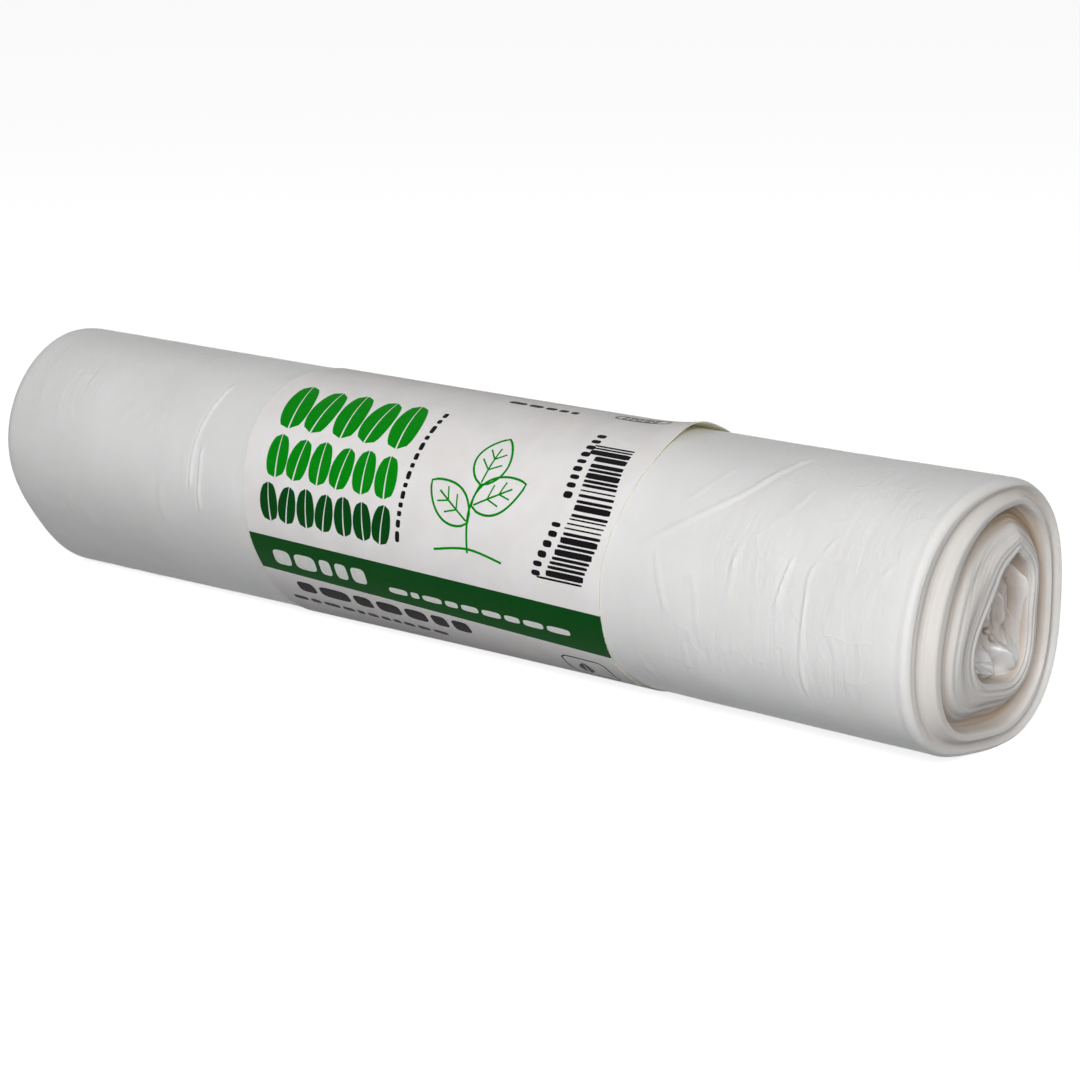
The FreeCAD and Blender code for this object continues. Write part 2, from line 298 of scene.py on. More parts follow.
@dataclass(frozen=True)
class RollShape:
    """The form of the wound film: its section along the roll, and its two ends."""

    length: float = 250.0
    radius: float = 27.9
    settle: float = 0.8      # depth by which its weight presses the underside flat
    near: RollEnd = RollEnd(
        side=1,
        swell=0.3,
        section_waves=((2, 0.70, 89.0), (3, 0.91, -20.0), (4, 0.89, 40.0)),
        rim_depth=3.0,
        rim_tilt=0.9,
        inner_tilt=0.95,
        rim=Ridge(0.08, 0.09, 0.8),
        outer_ridges=(Ridge(0.27, 0.10, 1.8, shelf=0.065),),
        groove_depth=0.8,
        recess_ridges=(Ridge(0.52, 0.08, 0.5),),
        recess_depth=2.1,
        recess_wave=1.1,
        hump_ridges=(Ridge(0.80, 0.10, 0.95), Ridge(0.868, 0.06, 0.75), Ridge(0.935, 0.065, 1.1)),
        hump_groove=-0.3,
        hollow_radius=12.3,
        hollow_waves=((2, 0.8, -17.0), (3, 0.93, -18.0), (4, 0.57, 38.0)),
        hollow_back=3.5,
        hollow_up=-0.6,
        hollow_depth=17.0,
        inner_step=2.4,
        inner_end_angle=-18.0,
        inner_end_arc=45.0,
        flap=3.1,
        undercut=3.6,
        long_slope=0.05,
        front_spread=0.13,
        rim_rows=9,
        row_pitch=0.0125,
    )
    far: RollEnd = RollEnd(
        side=-1,
        swell=-0.3,
        section_waves=((2, 1.45, 39.0), (3, 0.94, 44.0), (4, 0.68, 0.0)),
        rim_depth=3.0,
        rim_tilt=0.0,
        inner_tilt=0.5,
        rim=Ridge(0.10, 0.10, 0.7),
        outer_ridges=(),
        groove_depth=0.7,
        recess_ridges=(Ridge(0.48, 0.12, 0.9),),
        recess_depth=2.6,
        recess_wave=0.6,
        hump_ridges=(Ridge(0.86, 0.13, 1.6),),
        hump_groove=2.1,
        hollow_radius=10.5,
        hollow_waves=((2, 1.0, 25.0), (3, 0.6, 70.0)),
        hollow_back=-1.0,
        hollow_up=0.5,
        hollow_depth=14.0,
        inner_step=1.8,
        inner_end_angle=-25.0,
        inner_end_arc=45.0,
        flap=1.2,
        undercut=2.0,
        long_slope=0.0,
        front_spread=0.0,
        rim_rows=7,
        row_pitch=0.016,
    )

    def near_share(self, x: float) -> float:
        """0 at the far end of the roll and 1 at the near end."""
        return 0.5 + x / self.length

    def section_radius(self, x: float, angle: float) -> float:
        """Radius of the film: each end has waves of its own, and they blend along the roll."""
        near, far = (e.swell + waves(e.section_waves, angle) for e in (self.near, self.far))
        return self.radius + mixed(far, near, self.near_share(x))

    def reach(self, x: float, direction: float) -> float:
        """How far the section stands from the roll's middle, towards an angle."""
        return max(
            self.section_radius(x, a) * cos(radians(a - direction)) for a in range(360)
        )

    @cached_property
    def drops(self) -> Point:
        """Height of the section's middle at the far end and at the near end."""
        half = self.length / 2.0
        return self.reach(-half, 180.0) - self.settle, self.reach(half, 180.0) - self.settle

    @cached_property
    def middle_back(self) -> float:
        """How far back the section's middle lies, so that the roll is centred."""
        half = self.length / 2.0
        front = max(self.reach(half, 90.0), self.reach(-half, 90.0))
        back = max(self.reach(half, -90.0), self.reach(-half, -90.0))
        return (front - back) / 2.0

    def around(
        self, x: float, radius: float, angle: float, back: float = 0.0, up: float = 0.0
    ) -> Vector:
        """A point round the roll's middle, or round a middle that lies off it.

        Args:
            x: place along the roll.
            radius: distance from the middle.
            angle: place round it.
            back: how far back the middle lies off the roll's.
            up: how far up it lies.

        Returns:
            The point in millimetres.
        """
        middle_up = mixed(*self.drops, self.near_share(x))
        return Vector((
            x,
            self.middle_back + back - radius * sin(radians(angle)),
            middle_up + up + radius * cos(radians(angle)),
        ))

    def hollow_mouth(self, end: RollEnd, x: float, angle: float, wider: float = 0.0) -> Vector:
        """A point on the mouth of a hollow, with the step and the flap of the film's inner end.

        Args:
            end: the end that the hollow is in.
            x: place along the roll.
            angle: place round the hollow.
            wider: how far outside the mouth the point lies.

        Returns:
            The point in millimetres.
        """
        past = (angle - end.inner_end_angle) % 360.0
        falling = 360.0 - end.inner_end_arc
        share = past / falling if past < falling else (360.0 - past) / end.inner_end_arc
        radius = end.hollow_radius + waves(end.hollow_waves, angle)
        radius += end.inner_step * (share - 0.5) - end.flap * end.flap_share(angle) + wider
        corner = (angle - end.inner_end_angle + 186.0) % 360.0 - 180.0
        radius += 0.3 * end.flap * bell(corner, 0.0, 16.0)
        return self.around(x, radius, angle, end.hollow_back, end.hollow_up)

    def end_point(self, end: RollEnd, place: float, depth: float, angle: float) -> Vector:
        """A point on an end: between the wall and the hollow, or inside the hollow.

        Args:
            end: the end.
            place: share of the way in, past 1 inside the hollow.
            depth: depth below the rim's crest.
            angle: place round the roll.

        Returns:
            The point in millimetres.
        """
        x = end.side * (self.length / 2.0 - end.rise() - depth - end.uneven(place, angle))
        under = end.undercut * end.flap_share(angle) * smooth((place - 1.0) / 0.012)
        mouth = self.hollow_mouth(end, x, angle, under)
        if place <= 1.0:
            return self.around(x, self.section_radius(x, angle), angle).lerp(mouth, place)
        middle = self.around(x, 0.0, 0.0, end.hollow_back, end.hollow_up)
        return middle.lerp(mouth, 2.0 - place)

    def arc(self, angle: float) -> float:
        """Length round the roll from the top to an angle, in millimetres."""
        return radians(angle) * self.radius

    def angle(self, arc: float) -> float:
        """The angle at a length round the roll from the top."""
        return degrees(arc / self.radius)


def srgb(code: str) -> tuple[float, float, float, float]:
    """An sRGB colour such as "#e8e6e2" as linear red, green, blue and alpha.

    Args:
        code: six hex digits after a hash.

    Returns:
        The colour for a socket, with an alpha of 1.
    """
    parts = [int(code[i:i + 2], 16) / 255.0 for i in (1, 3, 5)]
    linear = [c / 12.92 if c <= 0.04045 else ((c + 0.055) / 1.055) ** 2.4 for c in parts]
    return (*linear, 1.0)


def add_node(
    tree: bpy.types.NodeTree,
    kind: str,
    settings: dict | None = None,
    links: dict | None = None,
) -> bpy.types.Node:
    """Adds a node to a tree, sets it up and links its inputs.

    Args:
        tree: the node tree.
        kind: the node's type name.
        settings: values by the name of a property, or by the name or number of an input.
        links: sockets, or nodes for their first output, by the input that they feed.

    Returns:
        The new node.
    """
    node = tree.nodes.new(kind)
    for name, value in (settings or {}).items():
        if isinstance(name, str) and hasattr(node, name):
            setattr(node, name, value)
        else:
            node.inputs[name].default_value = value
    for name, source in (links or {}).items():
        socket = source if isinstance(source, bpy.types.NodeSocket) else source.outputs[0]
        tree.links.new(socket, node.inputs[name])
    return node


def blank_material(name: str) -> tuple[bpy.types.Material, bpy.types.NodeTree]:
    """A new material with an empty node tree.

    Args:
        name: the material's name.

    Returns:
        The material and its tree.
    """
    material = bpy.data.materials.new(name)
    material.use_nodes = True
    material.node_tree.nodes.clear()
    return material, material.node_tree


def ramp(
    tree: bpy.types.NodeTree, factor: Source, stops: Sequence[tuple[float, str]]
) -> bpy.types.NodeSocket:
    """Turns a value into a colour between a few stops.

    Args:
        tree: the node tree.
        factor: the value, from 0 to 1.
        stops: place and sRGB colour of each stop, first to last.

    Returns:
        The colour socket.
    """
    node = add_node(tree, "ShaderNodeValToRGB", links={"Fac": factor})
    elements = node.color_ramp.elements
    while len(elements) < len(stops):
        elements.new(0.5)
    for element, (place, code) in zip(elements, stops):
        element.position, element.color = place, srgb(code)
    return node.outputs["Color"]


@dataclass(frozen=True)
class MilkyFilm:
    """LLDPE film, blown thin, folded and wound tight: milky, with a soft waxy sheen.

    Many layers show as one body that light enters a little way, so it scatters under the surface.
    The beige to brown of the grooves between groups of turns, the recess and the hollow is painted
    shade.
    """

    name: str = "milky_lldpe_film"
    # crest is the film's own tone; the shoulder, groove and deep tones are painted shade for
    # grooves, recess and hollow
    crest: str = "#f0f0ef"
    shoulder_shade: str = "#d9d1ca"
    groove: str = "#bfac98"
    deep: str = "#947d67"
    scatter: float = 0.35
    shine: float = 0.1       # low, as the film lies among its own pale layers
    gloss: float = 0.02      # weight of the slick skin over the milky body
    roughness: float = 0.36  # blown LLDPE has a haze of 10 to 20 %
    ior: float = 1.51        # polyethylene
    wrinkle: float = 2.6     # mm between the fine wrinkles in the film
    layer: float = 0.45      # mm: drawn coarser than the film's 0.02 mm turns, so that it shows

    def material(self) -> bpy.types.Material:
        """Builds the film's material from noises by the size of their patches.

        Returns:
            The material, which reads the point attributes groove (its painted shade), end_face and
            inward.
        """
        material, tree = blank_material(self.name)
        place = add_node(tree, "ShaderNodeTexCoord").outputs["Object"]
        groove, end_face, inward = (
            add_node(tree, "ShaderNodeAttribute", {"attribute_name": name}).outputs["Fac"]
            for name in ("groove", "end_face", "inward")
        )
        # 30 mm: layers that lie closer or looser; 24 mm: calmer areas; 14 mm: bends in creases
        drift, patches, wavy = (
            add_node(tree, "ShaderNodeTexNoise", {"Scale": 1.0 / (size * MM), "Detail": detail},
                     {"Vector": place})
            for size, detail in ((30.0, 3.0), (24.0, 1.0), (14.0, 2.0))
        )
        # Painted shade: the groove attribute tints crests white and grooves, recess and hollow
        # beige to brown
        tint = ramp(tree, groove, [
            (0.0, self.crest), (0.25, self.shoulder_shade), (0.6, self.groove), (1.0, self.deep),
        ])
        veil = ramp(tree, drift, [(0.3, "#f4f4f3"), (0.7, "#ffffff")])
        colour = add_node(
            tree, "ShaderNodeMix", {"data_type": "RGBA", "blend_type": "MULTIPLY", 0: 1.0},
            {6: tint, 7: veil},
        ).outputs[2]
        # Wrinkles run round the roll, so they are short along X and long across it
        stretched = add_node(
            tree, "ShaderNodeMapping", {"Scale": (1.0, 0.22, 0.22)}, {"Vector": place}
        )
        wrinkles = add_node(
            tree, "ShaderNodeTexNoise",
            {"Scale": 1.0 / (self.wrinkle * MM), "Detail": 5.0, "Roughness": 0.62,
             "Distortion": 1.2},
            {"Vector": stretched},
        )
        # Crease lines that the film keeps from being folded, in a net about 11 mm wide
        bent = add_node(
            tree, "ShaderNodeVectorMath", {"operation": "MULTIPLY_ADD", 1: (0.016, 0.016, 0.016)},
            {0: wavy.outputs["Color"], 2: place},
        )
        net = add_node(
            tree, "ShaderNodeTexVoronoi",
            {"feature": "DISTANCE_TO_EDGE", "Scale": 1.0 / (11.0 * MM)}, {"Vector": bent},
        )
        # Edges of single turns on the end faces, as lines round the roll
        turns = add_node(
            tree, "ShaderNodeTexNoise",
            {"noise_dimensions": "1D", "Scale": 1.0 / self.layer, "Detail": 2.0}, {"W": inward},
        )
        patchy, lines = (
            add_node(tree, "ShaderNodeMapRange", {**SMOOTHSTEP, **span}, {0: value})
            for value, span in (
                (patches, {1: 0.4, 2: 0.66, 3: 0.25, 4: 1.0}),
                (net, {1: 0.0, 2: 0.05, 3: 1.0, 4: 0.0}),
            )
        )
        # Each relief, where it shows, and its strength and height in mm
        normal = None
        for height, mask, strength, rise in (
            (lines, patchy, 0.5, 0.055),
            (wrinkles, patchy, 0.7, 0.42),
            (turns, end_face, 0.4, 0.3),
        ):
            height = add_node(
                tree, "ShaderNodeMath", {"operation": "MULTIPLY"}, {0: height, 1: mask}
            )
            normal = add_node(
                tree, "ShaderNodeBump", {"Strength": strength, "Distance": rise * MM},
                {"Height": height, **({"Normal": normal} if normal else {})},
            )
        shader = add_node(
            tree, "ShaderNodeBsdfPrincipled",
            {"Roughness": self.roughness, "IOR": self.ior, "Subsurface Weight": self.scatter,
             "Subsurface Radius": (1.0, 0.82, 0.62), "Subsurface Scale": 1.6 * MM,
             "Specular IOR Level": self.shine, "Coat Weight": self.gloss, "Coat Roughness": 0.22},
            {"Base Color": colour, "Normal": normal},
        )
        add_node(tree, "ShaderNodeOutputMaterial", links={"Surface": shader})
        return material


@dataclass(frozen=True)
class LabelPaper:
    """Uncoated offset paper of about 90 g: warm white, matt, with fibres and a faint cockle."""

    tone: str = "#fcf7f3"
    shade: str = "#f5f0ec"
    cut: str = "#fdf2ca"     # the cut edge takes the yellow of the adhesive and the pulp
    roughness: float = 0.62
    fibre: float = 0.5       # mm: clumps of fibre, drawn coarse enough to show

    def material(self, cut_edge: bool = False) -> bpy.types.Material:
        """Builds the paper's material.

        Args:
            cut_edge: whether it is for the cut edges and the side with the adhesive.

        Returns:
            The material.
        """
        name = "uncoated_paper_cut_edge" if cut_edge else "uncoated_paper"
        tone, shade = (self.cut, self.cut) if cut_edge else (self.tone, self.shade)
        scatter, deep = (0.9, 1.6) if cut_edge else (0.35, 0.5)
        material, tree = blank_material(name)
        place = add_node(tree, "ShaderNodeTexCoord").outputs["Object"]
        fibres, cloud = (
            add_node(tree, "ShaderNodeTexNoise",
                     {"Scale": 1.0 / (size * MM), "Detail": detail, "Roughness": rough},
                     {"Vector": place})
            for size, detail, rough in ((self.fibre, 5.0, 0.65), (9.0, 2.0, 0.5))
        )
        colour = ramp(tree, cloud, [(0.35, shade), (0.65, tone)])
        fine = add_node(
            tree, "ShaderNodeBump", {"Strength": 0.12, "Distance": 0.05 * MM}, {"Height": fibres}
        )
        cockle = add_node(
            tree, "ShaderNodeBump", {"Strength": 0.12, "Distance": 0.3 * MM},
            {"Height": cloud, "Normal": fine},
        )
        shader = add_node(
            tree, "ShaderNodeBsdfPrincipled",
            {"Roughness": self.roughness, "IOR": 1.47, "Specular IOR Level": 0.15,
             "Subsurface Weight": scatter, "Subsurface Radius": (1.0, 0.9, 0.6),
             "Subsurface Scale": deep * MM},
            {"Base Color": colour, "Normal": cockle},
        )
        add_node(tree, "ShaderNodeOutputMaterial", links={"Surface": shader})
        return material


class InkTone(Enum):
    """The inks that the band is printed with."""

    LEAF_GREEN = "#008a0c"
    FOREST_GREEN = "#00430f"
    BLACK = "#111113"
    PAPER_WHITE = "#e9ebe6"


@dataclass(frozen=True)
class Ink:
    """Flexographic ink, dried into the paper: nearly matt, and a little uneven in depth."""

    tone: InkTone
    roughness: float = 0.5
    mottle: float = 1.4      # mm between thin and full patches of ink

    def material(self) -> bpy.types.Material:
        """Builds the ink's material.

        Returns:
            The material.
        """
        material, tree = blank_material("flexo_ink_" + self.tone.name.lower())
        place = add_node(tree, "ShaderNodeTexCoord").outputs["Object"]
        patches = add_node(
            tree, "ShaderNodeTexNoise",
            {"Scale": 1.0 / (self.mottle * MM), "Detail": 3.0}, {"Vector": place},
        )
        full = srgb(self.tone.value)
        thin = add_node(
            tree, "ShaderNodeHueSaturation", {"Saturation": 0.98, "Value": 1.12, "Color": full}
        )
        share = add_node(
            tree, "ShaderNodeMapRange", {**SMOOTHSTEP, 1: 0.35, 2: 0.75, 3: 0.0, 4: 0.6},
            {0: patches},
        )
        colour = add_node(
            tree, "ShaderNodeMix", {"data_type": "RGBA", 6: full}, {0: share, 7: thin}
        ).outputs[2]
        shader = add_node(
            tree, "ShaderNodeBsdfPrincipled",
            {"Roughness": self.roughness, "IOR": 1.48, "Specular IOR Level": 0.05},
            {"Base Color": colour},
        )
        add_node(tree, "ShaderNodeOutputMaterial", links={"Surface": shader})
        return material


def finished_object(
    bm: bmesh.types.BMesh, name: str, materials: Sequence[bpy.types.Material]
) -> bpy.types.Object:
    """Turns a mesh in millimetres into a smooth piece of the roll.

    Args:
        bm: the mesh, which is freed.
        name: the piece's name.
        materials: its materials, by the number that its faces hold.

    Returns:
        The object, which rides on the roll's one body.
    """
    bmesh.ops.transform(bm, matrix=Matrix.Scale(MM, 4), verts=bm.verts)
    for face in bm.faces:
        face.smooth = True
    for edge in bm.edges:
        edge.smooth = edge.calc_face_angle(0.0) < SHARP
    mesh = bpy.data.meshes.new(name)
    bm.to_mesh(mesh)
    bm.free()
    for material in materials:
        mesh.materials.append(material)
    piece = bpy.data.objects.new(name, mesh)
    bpy.context.scene.collection.objects.link(piece)
    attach(piece, "root")
    log.info("%s: %d faces", name, len(mesh.polygons))
    return piece


def draw_rings(
    bm: bmesh.types.BMesh, columns: int, count: int, capped: bool
) -> list[tuple[bmesh.types.BMVert, int, float]]:
    """Extrudes a circle into a tube of rings, and closes the last one.

    Args:
        bm: the empty mesh that they go in.
        columns: points in a ring.
        count: how many rings.
        capped: whether the first ring is closed too.

    Returns:
        Each point with its ring's number and its angle in degrees.
    """
    number_of = bm.verts.layers.int.new("row")
    angle_of = bm.verts.layers.float.new("angle")
    ring = bmesh.ops.create_circle(bm, cap_ends=capped, segments=columns, radius=1.0)["verts"]
    for i, vert in enumerate(ring):
        vert[angle_of] = 360.0 * i / columns
    edges = bm.edges[:]
    for number in range(1, count):
        made = bmesh.ops.extrude_edge_only(bm, edges=edges)["geom"]
        for vert in (g for g in made if isinstance(g, bmesh.types.BMVert)):
            vert[number_of] = number
        edges = [g for g in made if isinstance(g, bmesh.types.BMEdge)
                 and all(v[number_of] == number for v in g.verts)]
    bmesh.ops.edgeloop_fill(bm, edges=edges)
    return [(vert, vert[number_of], vert[angle_of]) for vert in bm.verts]


@dataclass(frozen=True)
class Crease:
    """A soft crease in the outer turn, along points of (x, angle)."""

    points: tuple[Point, ...]
    height: float = 0.16
    width: float = 0.38


@dataclass
class FilmRoll:
    """The wound film as one skin, from the bottom of one hollow to that of the other."""

    shape: RollShape
    band_span: Point = (-46.6, 53.1)   # the wall that the band hides
    band_lift: float = 0.3             # paper and clearance, which the underside makes room for
    columns: int = 280
    rim_line: float = 5.6              # from the near end to where the outermost turn ends
    free_end: float = 60.5             # angle at which the film's outer end lies
    wobble: float = 0.3                # how far the turns' edges wander in and out
    turn_step: float = 0.04            # how unevenly neighbouring turns end
    recess_step: float = 0.28          # the same in the recess, where they show most
    outer_step: float = 0.12
    valley: float = 0.45               # how deep a crease dips beside its crest, as a share
    valley_at: float = 1.3             # how far from the crest, in widths of the crease
    creases: tuple[Crease, ...] = (
        Crease(((58.4, 70.8), (76.0, 43.7), (81.9, 24.3), (84.9, 4.0)), 0.4, 0.42),
        Crease(((63.5, 69.0), (65.0, 80.0), (67.6, 93.4)), 0.34, 0.34),
        Crease(((82.2, 59.6), (81.6, 68.7), (81.3, 83.8)), 0.30, 0.34),
        Crease(((94.3, 61.0), (93.4, 70.0), (92.2, 82.2)), 0.34, 0.34),
        Crease(((100.1, 60.9), (98.6, 67.0), (98.8, 79.7), (98.5, 106.4), (99.5, 116.6)), 0.26),
        Crease(((102.0, 51.1), (101.2, 54.0), (100.2, 57.7)), 0.28, 0.34),
        Crease(((115.4, 56.5), (114.4, 60.0), (113.6, 63.6)), 0.28, 0.34),
        Crease(((66.0, 49.0), (70.0, 38.0), (73.0, 25.0)), 0.18, 0.34),
        Crease(((88.0, 50.0), (91.0, 40.0), (92.0, 30.0)), 0.16, 0.34),
        Crease(((72.0, 74.0), (74.0, 84.0), (74.5, 97.0)), 0.2, 0.34),
        Crease(((86.0, 66.0), (88.0, 78.0), (87.0, 92.0)), 0.18, 0.34),
        Crease(((107.0, 60.0), (105.5, 74.0), (106.5, 90.0)), 0.2, 0.34),
        Crease(((-60.8, 30.4), (-62.2, 45.1), (-63.1, 59.3), (-63.2, 75.2), (-63.6, 84.5)), 0.45),
        Crease(((-60.9, 63.9), (-60.6, 76.3), (-61.0, 95.2)), 0.36),
        Crease(((-120.8, 54.0), (-121.2, 70.0), (-121.0, 84.0)), 0.3),
        Crease(((-95.0, 60.0), (-92.5, 55.0), (-91.0, 50.0)), 0.2, 0.34),
        Crease(((-88.0, 60.0), (-86.0, 54.0), (-85.0, 50.0)), 0.2, 0.34),
        Crease(((-83.0, 60.0), (-81.0, 55.0), (-80.0, 51.0)), 0.2, 0.34),
        Crease(((-79.0, 62.0), (-77.0, 57.0), (-75.5, 52.0)), 0.2, 0.34),
        Crease(((-108.0, 66.0), (-104.0, 72.0), (-98.0, 75.0)), 0.16, 0.34),
        Crease(((-72.0, 80.0), (-74.0, 92.0), (-73.0, 104.0)), 0.2, 0.5),
    )

    def wall_places(self) -> list[float]:
        """Places of the rows along the wall, close together where creases cross them.

        Returns:
            The places, from the far end to the near end.
        """
        half = self.shape.length / 2.0
        far_x = -(half - self.shape.far.rise() - self.shape.far.rim_depth)
        near_x = half - self.shape.near.rise() - self.shape.near.rim_depth
        stops = ((far_x, 1.6), (-97.0, 0.8), (-72.0, 1.2), (-65.0, 0.36), (-59.0, 1.6),
                 (self.band_span[0], 11.0), (self.band_span[1], 1.0), (57.0, 0.62), (86.0, 0.9),
                 (91.0, 0.42), (102.5, 1.1), (112.5, 0.6), (116.0, 0.8), (near_x, 1.0))
        places = []
        for (start, pitch), (end, _) in zip(stops, stops[1:]):
            count = ceil((end - start) / pitch)
            places += [mixed(start, end, i / count) for i in range(count)]
        return places[1:]

    def crease_relief(self, x: float, arc: float) -> float:
        """Height of the creases at a point of the wall.

        Args:
            x: place along the roll.
            arc: length round it from the top.

        Returns:
            The height in millimetres.
        """
        total = 0.0
        for line, crease in self.crease_lines:
            (left, right), (low, high) = ((min(c), max(c)) for c in zip(*line))
            reach = 3.0 * crease.width
            if not (left - reach < x < right + reach and low - reach < arc < high + reach):
                continue
            best, side, along = nearest(line, (x, arc))
            fade = smooth(7.0 * along) * smooth(7.0 * (1.0 - along))
            d = side * best / crease.width
            dip = self.valley * exp(-((d - self.valley_at) ** 2))
            total += crease.height * fade * (exp(-d * d) - dip)
        return total

    @cached_property
    def crease_lines(self) -> list[tuple[list[Point], Crease]]:
        """The creases as smooth lines of (x, arc)."""
        arc = self.shape.arc
        return [(through([(x, arc(a)) for x, a in c.points]), c) for c in self.creases]

    def wall_relief(self, x: float, angle: float) -> float:
        """How far the outer turn stands off the plain section: slack, its end, and creases.

        Args:
            x: place along the roll.
            angle: place round it, from -180 to 180.

        Returns:
            The relief in millimetres.
        """
        low, high = self.band_span
        clear = smooth((low - x) / 6.0) + smooth((x - high) / 5.0)
        if clear == 0.0:
            return 0.0
        arc = self.shape.arc(angle)
        spot = self.shape.around(x, self.shape.radius, angle)
        slack = 0.16 * noise.noise(Vector((x / 26.0, spot.y / 15.0, spot.z / 15.0)))
        ripples = Vector((x / 5.0 + 9.0, spot.y / 16.0 + 4.0, spot.z / 16.0 + 2.0))
        slack += 0.05 * noise.noise(ripples)
        # The free end of the film lies along the near part as a low step
        past = angle - self.free_end - 1.2 * noise.noise(Vector((x / 9.0, 3.0, 7.0)))
        step = 0.16 * smooth(past / 1.0) * smooth((70.0 - past) / 60.0) * smooth((x - high) / 8.0)
        near_x = self.shape.length / 2.0 - self.rim_line
        rim = -0.14 * exp(-((x - near_x) / 0.6) ** 2) + 0.08 * smooth((x - near_x) / 1.0)
        rim_fade = 1.0 if x > 0 else 0.0
        return clear * (slack + self.crease_relief(x, arc) + step) + rim * rim_fade

    def end_relief(self, end: RollEnd, place: float, angle: float) -> float:
        """Uneven edges of the turns on an end face, as a change of depth.

        Args:
            end: the end.
            place: share of the way in.
            angle: place round the roll.

        Returns:
            The change in millimetres, deeper when positive.
        """
        turn = place + 0.01 * angle / 360.0
        a = radians(angle)
        spot = Vector((cos(a) * 0.9, sin(a) * 0.9, end.side * 4.0))
        wander = self.wobble * noise.noise(spot + Vector((0.0, 0.0, place * 4.0)))
        lines = noise.noise(Vector((cos(a) * 0.22, sin(a) * 0.22, turn * 44.0 + 30.0 * end.side)))
        step = self.turn_step + self.outer_step * bell(place, 0.24, 0.14)
        step += self.recess_step * bell(place, 0.53, 0.2) * (1.0 - max(sin(a), 0.0))
        amount = smooth(place / 0.1) * smooth((1.02 - place) / 0.06)
        return amount * (wander + lines * step)

    def painted_shade_share(self, end: RollEnd, place: float, depth: float, angle: float) -> float:
        """How deep between turns a point lies, for its tint.

        Args:
            end: the end.
            place: share of the way in.
            depth: depth below the rim's crest.
            angle: place round the roll.

        Returns:
            0 on a crest, and 1 far in, as painted shade.
        """
        # Painted shade: tinted darker the deeper a point lies down the hollow
        if place > 1.0:
            return clamp(0.35 + depth / end.hollow_depth)
        crest = min(end.depth(end.rim.place), end.hump_groove)
        share = clamp((depth - crest + 0.2) / (end.recess_depth - crest + 0.6))
        # Painted shade: the recess is tinted darker above and behind, where less light reaches it
        behind = 0.5 + 0.5 * cos(radians(angle + 70.0))
        weight = mixed(0.45, mixed(0.5, 1.15, behind), bell(place, *RECESS_SHADE_AT))
        return max(clamp(share * weight), 0.12) * smooth(place / end.rim.place)

    def point(self, row: tuple, angle: float) -> tuple[Vector, float, float, float]:
        """One point of the skin.

        Args:
            row: an end with a place and a depth, or None with a place along the wall.
            angle: place round the roll.

        Returns:
            The point in millimetres, its painted shade and end-face shares, and its way in.
        """
        end, place, depth = row
        turned = (angle + 180.0) % 360.0 - 180.0
        if end is None:
            radius = self.shape.section_radius(place, angle) + self.wall_relief(place, turned)
            spot = self.shape.around(place, radius, angle)
            low, high = self.band_span
            ground = self.band_lift if low < place < high else 0.0
            spot.z = max(spot.z, ground)
            return spot, 0.0, 0.0, 0.0
        if end.rim.place < place < 1.0:
            depth = end.depth(end.profile_place(place, angle))
        deeper = depth + self.end_relief(end, place, angle)
        spot = self.shape.end_point(end, place, deeper, angle)
        if place < 0.02:
            outward = self.wall_relief(spot.x, turned)
            spot += Vector((0.0, -sin(radians(angle)), cos(radians(angle)))) * outward
        spot.z = max(spot.z, 0.0)
        width = self.shape.radius - end.hollow_radius
        face = smooth((place - 0.03) / 0.05) * smooth((1.06 - place) / 0.05)
        return spot, self.painted_shade_share(end, place, deeper, angle), face, place * width

    def build(self, film: bpy.types.Material) -> bpy.types.Object:
        """Builds the skin ring by ring, and gives it its point attributes.

        Args:
            film: the film's material.

        Returns:
            The finished piece.
        """
        far = [(self.shape.far, *row) for row in self.shape.far.rows()]
        near = [(self.shape.near, *row) for row in self.shape.near.rows()]
        rows = far[::-1] + [(None, x, 0.0) for x in self.wall_places()] + near
        bm = bmesh.new()
        # The groove mark carries the painted shade of the film's tint
        marks = [bm.verts.layers.float.new(name) for name in ("groove", "end_face", "inward")]
        for vert, number, angle in draw_rings(bm, self.columns, len(rows), capped=True):
            vert.co, *values = self.point(rows[number], angle)
            for mark, value in zip(marks, values):
                vert[mark] = value
        bmesh.ops.recalc_face_normals(bm, faces=bm.faces)
        piece = finished_object(bm, "wound_film", [film])
        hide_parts(FILM_NODE)
        return piece


